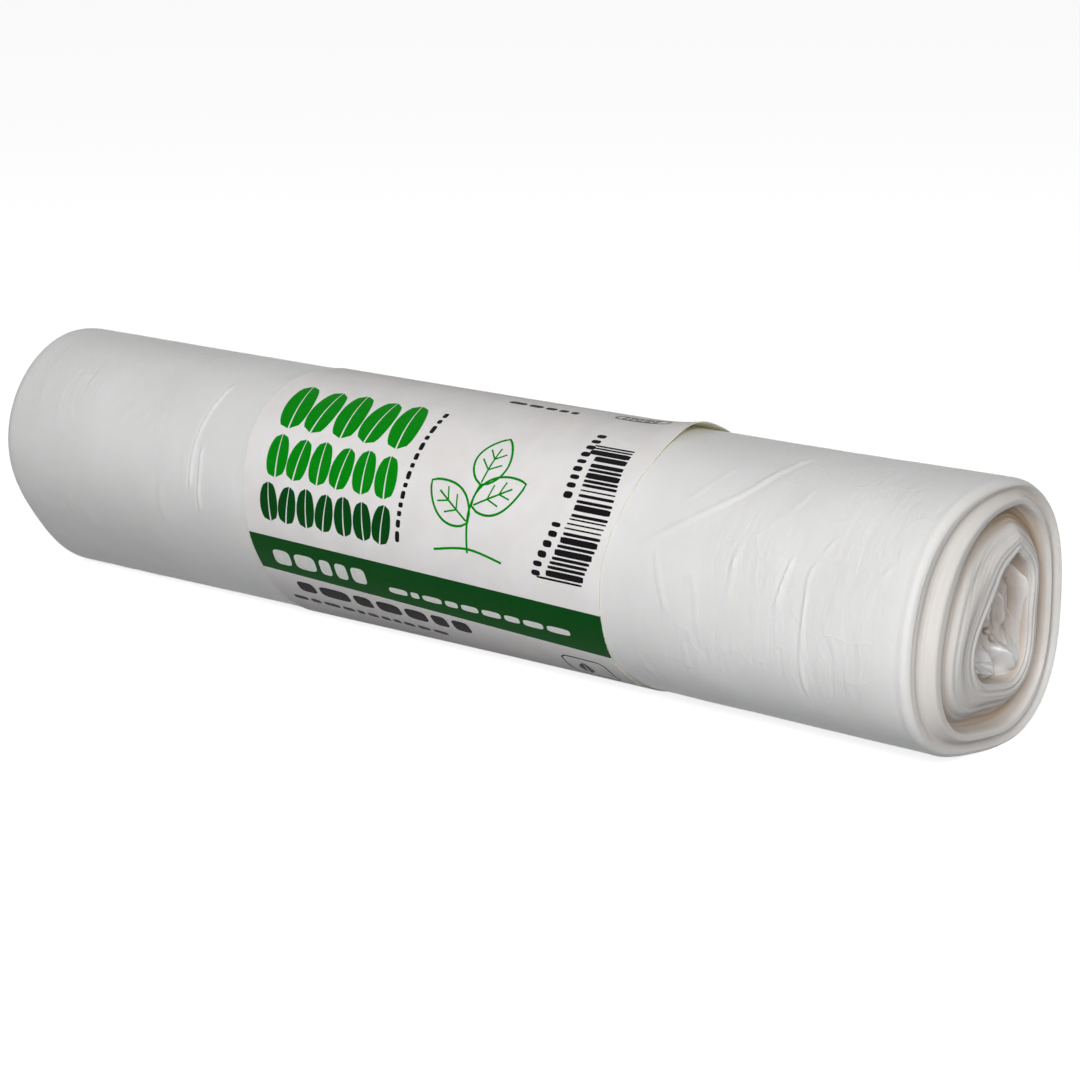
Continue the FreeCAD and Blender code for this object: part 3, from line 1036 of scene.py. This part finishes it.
@dataclass
class LooseFilm:
    """The start of the innermost bag, crumpled across the near hollow as one thin sheet.

    Places in it are (front, up) in millimetres from the hollow's middle, and depths run in
    from its mouth.
    """

    shape: RollShape
    mouth_x: float = 123.3
    back_depth: float = 3.2            # where the sheet meets the hollow's back
    front_depth: float = 9.5
    thickness: float = 0.06            # two layers of film
    rows: int = 84
    columns: int = 200
    # The crest of each fold, its height and its width
    folds: tuple[Fold, ...] = (
        (((-1.6, 6.4), (-0.4, 3.2), (0.2, 0.4), (-0.9, -1.8)), 3.6, 0.85),
        (((3.6, 4.0), (2.6, 0.0), (1.8, -4.0)), 1.6, 0.8),
        (((-6.2, 4.4), (-6.6, 0.6), (-7.4, -3.4)), 1.3, 0.5),
        (((-8.8, 5.4), (-9.0, 1.6), (-9.8, -2.8)), 1.1, 0.5),
        (((-4.6, -5.6), (-5.4, -7.4), (-6.6, -9.6), (-7.0, -11.8)), 2.9, 1.0),
        (((-1.6, -6.2), (-2.0, -8.6), (-3.2, -10.6)), 1.2, 0.6),
        (((5.5, -8.8), (1.5, -10.4), (-2.5, -11.2)), 1.9, 0.9),
        (((-11.9, 8.0), (-12.4, 1.0), (-11.6, -5.5)), 2.8, 1.1),
    )
    pits: tuple[Point, ...] = ((-3.7, -3.6), (-4.4, -5.2), (-0.8, -3.3))
    pit_size: float = 0.45
    pit_depth: float = 4.0
    bottom_bulge: float = 2.2
    hang_back: float = 3.0             # under the flap

    def plain_depth(self, front: float) -> float:
        """Depth of the sheet without its folds, which grows towards the front."""
        radius = self.shape.near.hollow_radius
        return mixed(self.back_depth, self.front_depth, (front + radius) / (2.0 * radius))

    def pit_share(self, front: float, up: float, wider: float = 1.0) -> float:
        """1 in the middle of a pit and 0 away from them."""
        size = self.pit_size * wider
        return max(exp(-(hypot(front - x, up - y) / size) ** 2) for x, y in self.pits)

    def depth(self, front: float, up: float) -> float:
        """Depth of the sheet below the mouth.

        Args:
            front: place towards the front.
            up: place upwards.

        Returns:
            The depth in millimetres.
        """
        depth = self.plain_depth(front)
        for line, height, width in self.fold_lines:
            gap, side, along = nearest(line, (front, up))
            fade = smooth(3.0 * along) * smooth(3.0 * (1.0 - along)) if 0.0 < along < 1.0 else 0.0
            # One side of a fold falls off more steeply than the other
            width *= 1.3 if side > 0.0 else 0.75
            crest = exp(-(gap / width) ** 1.6) - 0.35 * exp(-((gap / width - 1.9) / 0.8) ** 2)
            depth -= height * (0.25 + 0.75 * fade) * crest
        spot = Vector((front / 2.2, up / 5.0, 2.0))
        depth += 0.5 * noise.noise(spot) + 0.12 * noise.noise(spot * 4.0)
        depth += 0.55 * abs(noise.noise(spot * 1.7))
        depth += self.pit_depth * self.pit_share(front, up)
        depth -= self.bottom_bulge * smooth((-3.0 - up) / 7.0)
        depth += self.hang_back * smooth((up - 3.5) / 6.0) * smooth((front + 11.0) / 8.0)
        return max(depth, 0.6)

    @cached_property
    def fold_lines(self) -> list[tuple[list[Point], float, float]]:
        """The folds with smooth crests."""
        return [(through(points, 4), height, width) for points, height, width in self.folds]

    def point(self, share: float, angle: float) -> tuple[Vector, float]:
        """A point of the sheet.

        Args:
            share: from 0 in the middle to 1 at the wall.
            angle: place round the hollow.

        Returns:
            The point in millimetres, and its share of painted shade.
        """
        end = self.shape.near
        under = end.undercut * end.flap_share(angle)
        middle = self.shape.around(self.mouth_x, 0.0, 0.0, end.hollow_back, end.hollow_up)
        wall = self.shape.hollow_mouth(end, self.mouth_x, angle, under)
        spot = middle.lerp(wall, 1.03 * share)
        front, up = middle.y - spot.y, spot.z - middle.z
        depth = self.depth(front, up)
        spot.x -= depth
        # Painted shade: the sheet is tinted darker where it lies deeper than its plain depth, and
        # darkest in the pits
        shade = 0.4 + (depth - self.plain_depth(front)) / 5.0
        return spot, max(clamp(shade, high=0.75), self.pit_share(front, up, 1.4))

    def build(self, film: bpy.types.Material) -> bpy.types.Object:
        """Builds the sheet from its rim inwards, ring by ring, and gives it its thickness.

        Args:
            film: the loose film's material.

        Returns:
            The finished piece.
        """
        bm = bmesh.new()
        # groove holds the sheet's painted shade
        groove = bm.verts.layers.float.new("groove")
        for vert, number, angle in draw_rings(bm, self.columns, self.rows, capped=False):
            vert.co, vert[groove] = self.point(1.0 - number / self.rows, angle)
        made = bmesh.ops.extrude_face_region(bm, geom=bm.faces[:])["geom"]
        back = [g for g in made if isinstance(g, bmesh.types.BMVert)]
        bmesh.ops.translate(bm, vec=(-self.thickness, 0.0, 0.0), verts=back)
        bmesh.ops.recalc_face_normals(bm, faces=bm.faces)
        piece = finished_object(bm, "loose_inner_film", [film])
        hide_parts(FILM_NODE)
        return piece


@dataclass
class PaperBand:
    """A strip of paper, once round the film and lapped over its own start."""

    shape: RollShape
    start: float = -46.5
    end: float = 53.0
    thickness: float = 0.2
    clearance: float = 0.1
    seam_angle: float = -60.0
    seam_overlap: float = 13.0
    seam_ramp: float = 5.0
    glue_gap: float = 0.1
    lip_lift: float = 1.5
    lip_reach: float = 16.0
    lip_angle: float = -3.0
    lip_spread: float = 19.0
    columns: int = 300
    rows: int = 60
    start_edge: tuple[Point, ...] = (
        (-60.0, -46.0), (5.0, -44.8), (16.0, -46.6), (30.0, -47.7), (41.0, -48.1), (56.0, -48.0),
        (66.0, -47.4), (76.0, -46.9), (86.0, -46.4), (98.0, -46.0), (118.0, -45.5), (150.0, -46.2),
        (220.0, -46.5),
    )
    end_edge: tuple[Point, ...] = (
        (-60.0, 52.6), (-20.0, 53.2), (0.0, 53.6), (17.0, 54.1), (32.0, 54.4), (44.0, 53.9),
        (56.0, 53.2), (68.0, 52.1), (79.0, 51.3), (91.0, 51.0), (106.0, 51.0), (122.0, 50.8),
        (137.0, 52.0), (150.0, 52.5), (220.0, 53.0),
    )

    def lift(self, x: float, travel: float) -> float:
        """How far the paper's inner face stands off the film.

        Args:
            x: place along the roll.
            travel: degrees past the paper's start.

        Returns:
            The height in millimetres.
        """
        climb = self.shape.angle(self.seam_ramp)
        lapped = (self.thickness + self.glue_gap) * smooth((travel - 360.0 + climb) / climb)
        angle = (self.seam_angle + travel + 180.0) % 360.0 - 180.0
        lifted = max(x - (self.end - self.lip_reach), 0.0) / self.lip_reach
        lip = self.lip_lift * lifted ** 2 * exp(-((angle - self.lip_angle) / self.lip_spread) ** 2)
        return self.clearance + lapped + lip

    def point(self, x: float, travel: float, out: float) -> Vector:
        """A point on the paper.

        Args:
            x: place along the roll.
            travel: degrees past the paper's start.
            out: height over its inner face.

        Returns:
            The point in millimetres.
        """
        angle = self.seam_angle + travel
        radius = self.shape.section_radius(x, angle) + self.lift(x, travel) + out
        spot = self.shape.around(x, radius, angle)
        spot.z = max(spot.z, self.thickness - out)
        return spot

    def printed(self, x: float, arc: float, out: float) -> Vector:
        """A point over the printed face, by its arc from the top."""
        return self.point(x, self.shape.angle(arc) - self.seam_angle, self.thickness + out)

    def edges(self, angle: float) -> Point:
        """Places of the two cut edges at an angle; they wander a little round the roll."""
        return table_value(self.start_edge, angle), table_value(self.end_edge, angle)

    def build(self, paper: bpy.types.Material, cut: bpy.types.Material) -> bpy.types.Object:
        """Builds the strip from a flat grid, wrapped round and given its thickness.

        Args:
            paper: material of the printed side.
            cut: material of the cut edges and of the side with the adhesive.

        Returns:
            The finished piece.
        """
        last = 360.0 + self.shape.angle(self.seam_overlap)
        bm = bmesh.new()
        across, travel = (bm.verts.layers.float.new(n) for n in ("across", "travel"))
        inner = bm.verts.layers.int.new("inner")
        grid = bmesh.ops.create_grid(bm, x_segments=self.rows, y_segments=self.columns, size=0.5)
        for vert in grid["verts"]:
            vert[across] = vert.co.x + 0.5
            vert[travel] = last * (vert.co.y + 0.5)
        made = bmesh.ops.extrude_face_region(bm, geom=bm.faces[:])["geom"]
        for g in made:
            if isinstance(g, bmesh.types.BMVert):
                g[inner] = 1
        for vert in bm.verts:
            low, high = self.edges(self.seam_angle + vert[travel])
            # More rows where the near edge lifts
            x = mixed(low, high, vert[across] ** 0.7)
            vert.co = self.point(x, vert[travel], 0.0 if vert[inner] else self.thickness)
        # The cut edges and the side with the adhesive on it are creamier than the face
        for face in bm.faces:
            face.material_index = 1 if any(vert[inner] for vert in face.verts) else 0
        bmesh.ops.recalc_face_normals(bm, faces=bm.faces)
        piece = finished_object(bm, "paper_band_wrap", [paper, cut])
        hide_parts(BAND_NODE)
        return piece


@dataclass
class PrintPlate:
    """All the print of one ink: flat shapes of (x, arc), cut fine and wrapped on the paper."""

    band: PaperBand
    tone: InkTone
    name: str
    ink_height: float = 0.03
    pitch: float = 1.2       # mm between the cuts that let a shape follow the curve
    bm: bmesh.types.BMesh = field(default_factory=bmesh.new)

    def patch(self, outline: Sequence[Point]) -> None:
        """Adds a filled shape.

        Args:
            outline: the points round it.
        """
        ring = bmesh.ops.create_circle(self.bm, cap_ends=True, segments=len(outline), radius=1.0)
        for vert, (x, arc) in zip(ring["verts"], outline):
            vert.co = (x, arc, 0.0)

    def stroke(self, path: Sequence[Point], width: float, closed: bool = False) -> None:
        """Adds a line of one width.

        Args:
            path: its points.
            width: its width in millimetres.
            closed: whether its end joins its start.
        """
        points = [Vector(p) for p in path]
        count = len(points)
        pairs = []
        for i, p in enumerate(points):
            before = points[i - 1] if closed or i > 0 else p
            after = points[(i + 1) % count] if closed or i < count - 1 else p
            side = (after - before).normalized().orthogonal() * width / 2.0
            pairs.append((p + side, p - side))
        if closed:
            pairs.append(pairs[0])
        verts = [self.bm.verts.new((*p, 0.0)) for p in pairs[0]]
        edge = self.bm.edges.new(verts)
        used = list(verts)
        for pair in pairs[1:]:
            made = bmesh.ops.extrude_edge_only(self.bm, edges=[edge])["geom"]
            fresh = [g for g in made if isinstance(g, bmesh.types.BMVert)]
            verts = [next(v for v in fresh if self.bm.edges.get((v, old))) for old in verts]
            for vert, spot in zip(verts, pair):
                vert.co = (*spot, 0.0)
            edge = self.bm.edges.get(verts)
            used += verts
        if closed:
            bmesh.ops.remove_doubles(self.bm, verts=used, dist=1e-4)

    def build(self) -> bpy.types.Object:
        """Cuts the shapes fine, gives them the ink's height and wraps them on the paper.

        Returns:
            The finished piece.
        """
        bm = self.bm
        bmesh.ops.recalc_face_normals(bm, faces=bm.faces)
        low = Vector(min(v.co[i] for v in bm.verts) for i in range(3))
        high = Vector(max(v.co[i] for v in bm.verts) for i in range(3))
        for axis, pitch in ((0, 4.0 * self.pitch), (1, self.pitch)):
            normal = Vector((1.0 - axis, float(axis), 0.0))
            for i in range(1, ceil((high[axis] - low[axis]) / pitch)):
                spot = low + normal * (i * pitch)
                geometry = bm.verts[:] + bm.edges[:] + bm.faces[:]
                bmesh.ops.bisect_plane(bm, geom=geometry, plane_co=spot, plane_no=normal)
        made = bmesh.ops.extrude_face_region(bm, geom=bm.faces[:])["geom"]
        top = [g for g in made if isinstance(g, bmesh.types.BMVert)]
        bmesh.ops.translate(bm, vec=(0.0, 0.0, 1.0), verts=top)
        for vert in bm.verts:
            out = self.ink_height if vert.co.z > 0.5 else -0.5 * self.band.thickness
            vert.co = self.band.printed(vert.co.x, vert.co.y, out)
        bmesh.ops.recalc_face_normals(bm, faces=bm.faces)
        return finished_object(bm, self.name, [Ink(self.tone).material()])


def block(x: float, arc: float, width: float, height: float, power: float = 5.0) -> list[Point]:
    """A rounded block.

    Args:
        x: its middle along the roll.
        arc: its middle round it.
        width: its size along the roll.
        height: its size round it.
        power: how sharp its corners are, from 2 for an oval.

    Returns:
        The points of its outline.
    """
    outline = []
    for i in range(BLOCK_POINTS):
        turn = 2.0 * pi * i / BLOCK_POINTS
        c, s = cos(turn), sin(turn)
        reach = (abs(c) ** power + abs(s) ** power) ** (-1.0 / power)
        outline.append((x + 0.5 * width * c * reach, arc + 0.5 * height * s * reach))
    return outline


@dataclass(frozen=True)
class Leaf:
    """A leaf on the flat band: its foot, its length and width, and its lean from upright."""

    x: float
    arc: float
    length: float
    width: float
    lean: float              # degrees, positive towards +X at its tip
    fullness: float = 0.75   # below 1 for a blunter leaf

    def place(self, along: float, aside: float) -> Point:
        """A point of the leaf on the band; its tip points up, to a smaller arc."""
        c, s = cos(radians(self.lean)), sin(radians(self.lean))
        return self.x + along * s + aside * c, self.arc - along * c + aside * s

    def half_width(self, share: float) -> float:
        """Half of its width at a share of the way from foot to tip."""
        return 0.5 * self.width * max(sin(pi * share ** 0.85), 0.0) ** self.fullness

    def outline(self, parts: int = 16) -> list[Point]:
        """The whole outline, foot to tip and back.

        Args:
            parts: how many pieces each side has.

        Returns:
            The points round the leaf.
        """
        shares = [i / parts for i in range(parts + 1)]
        right = [self.place(self.length * t, self.half_width(t)) for t in shares]
        left = [self.place(self.length * t, -self.half_width(t)) for t in reversed(shares[1:-1])]
        return right + left

    def halves(self, gap: float, parts: int = 14) -> list[list[Point]]:
        """The leaf as two halves with a bare vein between them.

        Args:
            gap: width of the vein at the foot.
            parts: how many pieces each half's edge has.

        Returns:
            The outlines of the two halves.
        """
        made = []
        for side in (1.0, -1.0):
            edge = [
                self.place(self.length * i / parts,
                           side * max(self.half_width(i / parts), 0.5 * gap))
                for i in range(parts + 1)
            ]
            vein = [
                self.place(self.length * t, side * 0.5 * gap * (1.0 - 0.6 * t))
                for t in (0.97, 0.5, 0.03)
            ]
            made.append(edge + vein)
        return made


@dataclass
class BandPrint:
    """Generic print in the places and colours of the real one, with no words in it.

    Three rows of bold leaves, a column of dashes, an outlined sprout, plain bars, a dark
    stripe with pale marks, and rows of dashes where the small print would be.
    """

    band: PaperBand
    seed: int = 7

    def __post_init__(self) -> None:
        """Opens one plate for each ink."""
        self.random = random.Random(self.seed)
        self.leaf_green = PrintPlate(self.band, InkTone.LEAF_GREEN, "print_leaf_green")
        self.forest_green = PrintPlate(self.band, InkTone.FOREST_GREEN, "print_forest_green")
        self.black = PrintPlate(self.band, InkTone.BLACK, "print_black")
        self.white = PrintPlate(self.band, InkTone.PAPER_WHITE, "print_white", ink_height=0.05)

    def arc(self, angle: float) -> float:
        """Arc from the top to an angle."""
        return self.band.shape.arc(angle)

    def leaf_row(self, plate: PrintPlate, span: Point, angles: Point, count: int) -> None:
        """A row of bold leaves side by side, leaning by turns.

        Args:
            plate: the plate of their ink.
            span: where the row starts and ends along the roll.
            angles: where the leaves' tips and feet lie.
            count: how many leaves.
        """
        top, foot = self.arc(angles[0]), self.arc(angles[1])
        cell = (span[1] - span[0]) / count
        for i in range(count):
            lean = (-7.0, 6.0, -3.0, 7.0, -5.0)[i % 5]
            length = (foot - top) * (0.98 if i % 2 else 1.01)
            x = span[0] + cell * (i + 0.5) - 0.5 * length * sin(radians(lean))
            leaf = Leaf(x, foot, length, cell * 0.94, lean, 0.34)
            for half in leaf.halves(0.45):
                plate.patch(half)

    def dashes(
        self, plate: PrintPlate, span: Point, arc: float, height: float, lengths: Point, gap: float
    ) -> None:
        """A row of rounded dashes of mixed lengths, in the place of a line of small print.

        Args:
            plate: the plate of their ink.
            span: where the row starts and ends along the roll.
            arc: the middle of the row.
            height: how high the dashes are.
            lengths: the shortest and the longest dash.
            gap: the space between two dashes.
        """
        x = span[0]
        while x < span[1] - lengths[0]:
            length = min(self.random.uniform(*lengths), span[1] - x)
            plate.patch(block(x + length / 2.0, arc, length, height, 4.0))
            x += length + gap

    def column(self) -> None:
        """A thin upright column of small dashes beside the leaves."""
        arc, end = self.arc(26.0), self.arc(89.0)
        while arc < end:
            length = self.random.uniform(0.9, 2.6)
            share = (arc - self.arc(26.0)) / (end - self.arc(26.0))
            x = mixed(-0.9, -2.2, share)
            self.black.patch(block(x, arc + length / 2.0, 1.15, length, 4.0))
            arc += length + 0.75

    def sprout(self) -> None:
        """An outlined sprout: a stem that rises from a low mound, with three leaves."""
        plate, line = self.leaf_green, 0.5
        middle, foot, top = 17.0, self.arc(86.0), self.arc(34.0)
        stem = through([(middle, foot), (middle - 0.8, foot - 8.0), (middle + 0.4, foot - 14.0)])
        plate.stroke(stem, line)
        mound = [(middle - 9.0, foot + 0.6), (middle, foot - 0.8), (middle + 9.0, foot + 0.6)]
        plate.stroke(through(mound), line)
        leaves = (
            Leaf(middle + 0.4, foot - 14.0, foot - 14.0 - top, 8.6, 8.0),
            Leaf(middle - 0.6, foot - 6.0, 13.5, 7.6, -58.0),
            Leaf(middle - 0.4, foot - 9.5, 13.5, 7.6, 62.0),
        )
        for leaf in leaves:
            plate.stroke(leaf.outline(), line, closed=True)
            vein = [leaf.place(leaf.length * t, 0.0) for t in (0.04, 0.4, 0.76)]
            plate.stroke(vein, line * 0.8)
            for t, side in ((0.3, -1.0), (0.3, 1.0), (0.52, -1.0), (0.52, 1.0)):
                out = t + 0.16
                tip = leaf.place(leaf.length * out, side * 0.62 * leaf.half_width(out))
                plate.stroke([leaf.place(leaf.length * t, 0.0), tip], line * 0.7)

    def bars(self) -> None:
        """Plain bars along the roll, one under another, with mixed widths and gaps."""
        start, end = self.arc(28.4), self.arc(90.6)
        module = (end - start) / 95.0
        left = through([(start, 41.0), (self.arc(59.0), 41.8), (end, 37.0)], 12)
        right = through([(start, 48.8), (self.arc(59.0), 50.8), (end, 46.5)], 12)
        arc = start
        while arc < end - 0.5 * module:
            share = (arc - start) / (end - start)
            width = self.random.choice((1, 2, 2, 3, 4)) if 0.03 < share < 0.96 else 1.3
            is_long = share < 0.05 or 0.47 < share < 0.53 or share > 0.95
            step = min(int(share * 24), 24)
            first, last = left[step][1] - (2.0 if is_long else 0.0), right[step][1]
            size = width * module
            shape = block((first + last) / 2.0, arc + size / 2.0, last - first, size, 30.0)
            self.black.patch(shape)
            arc += size + module * self.random.choice((1, 1, 2))
        # Small marks beside the bars
        arc = start - 3.5
        while arc < end - 1.0:
            share = clamp((arc - start) / (end - start))
            x = left[min(int(share * 24), 24)][1] - 2.6
            height = self.random.uniform(0.9, 1.5)
            if not 0.45 < share < 0.55:
                self.black.patch(block(x, arc + height / 2.0, 2.2, height, 3.0))
            arc += height + 0.8

    def stripe(self) -> None:
        """The dark stripe across the whole band, cut off at the band's edges."""
        # Angles of the upper and the lower side at the band's start and end
        top, foot = (98.2, 100.6), (117.5, 121.5)
        columns, rows = 24, 8
        shares = [i / columns for i in range(columns + 1)]
        outline = []
        for ends, order, edge, side in (
            (top, shares, 1, (top[1], foot[1])), (foot, shares[::-1], 0, (foot[0], top[0])),
        ):
            for t in order:
                angle = mixed(*ends, t)
                outline.append((mixed(*self.band.edges(angle), t), self.arc(angle)))
            for i in range(1, rows):
                angle = mixed(*side, i / rows)
                outline.append((self.band.edges(angle)[edge], self.arc(angle)))
        self.forest_green.patch(outline)

    def frame(self, x: float, arc: float, width: float, height: float, line: float) -> None:
        """An outlined rounded box."""
        self.black.stroke(block(x, arc, width, height, 7.0), line, closed=True)

    def build(self) -> None:
        """Draws every part of the print, and builds one piece for each ink."""
        radius = self.band.shape.radius
        self.leaf_row(self.leaf_green, (-1.54 * radius, -0.15 * radius), (24.5, 49.0), 5)
        self.leaf_row(self.leaf_green, (-1.49 * radius, -0.15 * radius), (52.0, 71.0), 6)
        self.leaf_row(self.forest_green, (-1.50 * radius, -0.14 * radius), (73.5, 90.5), 7)
        self.column()
        self.sprout()
        self.bars()
        self.stripe()
        for plate, start, end, angle, height, lengths, gap in (
            (self.white, -1.44, -0.42, 109.0, 4.0, (3.0, 7.0), 1.3),
            (self.white, -0.25, 1.55, 112.5, 1.5, (2.0, 6.5), 1.0),
            (self.black, -1.33, 0.45, 126.5, 3.6, (3.0, 9.0), 1.5),
            (self.black, -1.5, 0.15, 138.0, 1.5, (1.5, 5.0), 1.0),
            (self.black, 0.28, 1.0, 5.0, 1.5, (1.5, 4.5), 0.9),
        ):
            span = (start * radius, end * radius)
            self.dashes(plate, span, self.arc(angle), height, lengths, gap)
        self.frame(41.5, self.arc(137.0), 11.5, 8.6, 0.35)
        self.frame(40.6, self.arc(-1.0), 13.0, 2.9, 0.35)
        for angle in (-2.2, 0.3):
            self.dashes(self.black, (35.6, 45.6), self.arc(angle), 0.6, (0.8, 2.4), 0.5)
        for half in Leaf(39.8, self.arc(142.5), 5.4, 3.4, 14.0).halves(0.5):
            self.black.patch(half)
        for plate in (self.leaf_green, self.forest_green, self.black, self.white):
            plate.build()


@dataclass
class Studio:
    """A pale floor, soft light and the photograph's camera."""

    camera_at: tuple[float, float, float] = (0.37571, -0.45529, 0.17997)
    yaw: float = -38.497
    pitch: float = 14.901
    roll: float = 0.573
    lens: float = 94.05
    ambient: float = 0.27      # from the front, where the pale room is
    ambient_behind: float = 0.17
    floor_glow: float = 0.72           # lifts the floor to white for the camera alone
    floor_bounce: str = "#393c43"      # the floor as the roll's soft light meets it
    key_at: tuple[float, float, float] = (0.52, -0.74, 0.35)
    key_size: float = 0.55
    key_power: float = 7.5

    def camera(self) -> None:
        """Sets up the camera where the photograph was taken from."""
        data = bpy.data.cameras.new("photo_camera")
        data.lens, data.sensor_width = self.lens, 36.0
        data.clip_start, data.clip_end = 0.01, 50.0
        camera = bpy.data.objects.new("photo_camera", data)
        bpy.context.scene.collection.objects.link(camera)
        yaw, pitch, roll = (radians(v) for v in (self.yaw, self.pitch, self.roll))
        ahead = Vector((sin(yaw) * cos(pitch), cos(yaw) * cos(pitch), -sin(pitch)))
        level = Vector((cos(yaw), -sin(yaw), 0.0))
        over = level.cross(ahead)
        right = level * cos(roll) - over * sin(roll)
        up = right.cross(ahead)
        turn = Matrix((right, up, -ahead)).transposed().to_4x4()
        camera.matrix_world = Matrix.Translation(self.camera_at) @ turn
        bpy.context.scene.camera = camera

    def key_lamp(self) -> None:
        """A square soft box that faces the roll."""
        data = bpy.data.lights.new("key_soft_box", "AREA")
        data.shape, data.size, data.energy = "SQUARE", self.key_size, self.key_power
        lamp = bpy.data.objects.new("key_soft_box", data)
        lamp.location = self.key_at
        towards = Vector((0.0, 0.0, 0.03)) - Vector(self.key_at)
        lamp.rotation_euler = towards.to_track_quat("-Z", "Y").to_euler()
        bpy.context.scene.collection.objects.link(lamp)

    def seen(self, tree: bpy.types.NodeTree) -> bpy.types.NodeSocket:
        """Tells what the camera sees from soft light.

        Args:
            tree: the node tree that asks.

        Returns:
            1 for a camera ray, straight or in gloss and glass, and 0 for the rest.
        """
        path = add_node(tree, "ShaderNodeLightPath").outputs
        total = path["Is Camera Ray"]
        for name in ("Is Glossy Ray", "Is Transmission Ray"):
            total = add_node(
                tree, "ShaderNodeMath", {"operation": "MAXIMUM"}, {0: total, 1: path[name]}
            ).outputs[0]
        return total

    def world(self) -> None:
        """A white surround, with a lower ambient light."""
        world = bpy.data.worlds.new("pale_surround")
        bpy.context.scene.world = world
        world.use_nodes = True
        tree = world.node_tree
        tree.nodes.clear()
        ahead = add_node(
            tree, "ShaderNodeSeparateXYZ",
            links={0: add_node(tree, "ShaderNodeTexCoord").outputs["Generated"]},
        ).outputs["Y"]
        soft = add_node(
            tree, "ShaderNodeMapRange",
            {**SMOOTHSTEP, 1: -1.0, 2: 1.0, 3: self.ambient, 4: self.ambient_behind}, {0: ahead},
        )
        strength = add_node(
            tree, "ShaderNodeMath", {"operation": "MAXIMUM"}, {0: self.seen(tree), 1: soft}
        )
        light = add_node(
            tree, "ShaderNodeBackground", {"Color": (1.0, 1.0, 1.0, 1.0)}, {"Strength": strength}
        )
        add_node(tree, "ShaderNodeOutputWorld", links={"Surface": light})

    def floor(self) -> None:
        """A matt floor that is white to the eye, keeps the shadow, and bounces little light up."""
        bm = bmesh.new()
        bmesh.ops.create_grid(bm, x_segments=1, y_segments=1, size=4.0)
        mesh = bpy.data.meshes.new("pale_floor")
        bm.to_mesh(mesh)
        bm.free()
        floor = bpy.data.objects.new("pale_floor", mesh)
        bpy.context.scene.collection.objects.link(floor)
        material, tree = blank_material("matt_white_floor")
        grain = add_node(
            tree, "ShaderNodeTexNoise", {"Scale": 1.0 / (4.0 * MM)},
            {"Vector": add_node(tree, "ShaderNodeTexCoord").outputs["Object"]},
        )
        tone = ramp(tree, grain, [(0.3, "#fdfdfd"), (0.7, "#ffffff")])
        matt = add_node(tree, "ShaderNodeBsdfDiffuse", links={"Color": tone})
        glow = add_node(tree, "ShaderNodeEmission", {"Strength": self.floor_glow})
        pale = add_node(tree, "ShaderNodeAddShader", links={0: matt, 1: glow})
        dull = add_node(tree, "ShaderNodeBsdfDiffuse", {"Color": srgb(self.floor_bounce)})
        shown = add_node(
            tree, "ShaderNodeMixShader", links={0: self.seen(tree), 1: dull, 2: pale}
        )
        add_node(tree, "ShaderNodeOutputMaterial", links={"Surface": shown})
        mesh.materials.append(material)

    def build(self) -> None:
        """Sets up camera, light and floor."""
        bpy.context.scene.view_settings.view_transform = "Standard"
        self.camera()
        self.world()
        self.floor()
        self.key_lamp()


def main() -> None:
    """Builds the roll and its setting."""
    shape = RollShape()
    FilmRoll(shape).build(MilkyFilm().material())
    # The loose film's shoulder, groove and deep tones are painted shade; deep is the painted dark
    # of the pits
    loose = MilkyFilm(
        name="loose_lldpe_film", crest="#f4f2f0", shoulder_shade="#dfd7d0", groove="#b9a898",
        deep="#3a2f27", scatter=0.3, shine=0.4, gloss=0.45, roughness=0.24, wrinkle=1.6,
    )
    LooseFilm(shape).build(loose.material())
    band = PaperBand(shape)
    paper = LabelPaper()
    band.build(paper.material(), paper.material(cut_edge=True))
    BandPrint(band).build()
    Studio().build()


if __name__ == "__main__":
    main()
